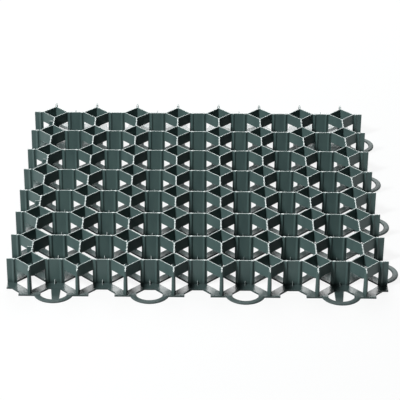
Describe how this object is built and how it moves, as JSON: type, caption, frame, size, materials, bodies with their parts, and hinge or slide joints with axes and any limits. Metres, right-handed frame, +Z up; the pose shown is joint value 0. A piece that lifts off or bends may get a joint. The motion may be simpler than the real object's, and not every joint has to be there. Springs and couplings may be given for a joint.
{
  "type": "grass paver grid",
  "caption": "Square moulded plastic grass paver: open octagonal cells with small diamonds between, a pierced base plate, and edge loops that couple to the next panel.",
  "frame": {"origin": "centre of the panel on its underside, in the octagonal hole under the middle cell", "axes": "+Z up from the underside to the rim; the loops are on the -Y and +X sides"},
  "size_m": [0.5164, 0.5164, 0.038],
  "materials": {
    "green_plastic": "dark grey-green moulded polyethylene, satin"
  },
  "bodies": {
    "root": {"paver_grid": "green_plastic"}
  },
  "joints": []
}
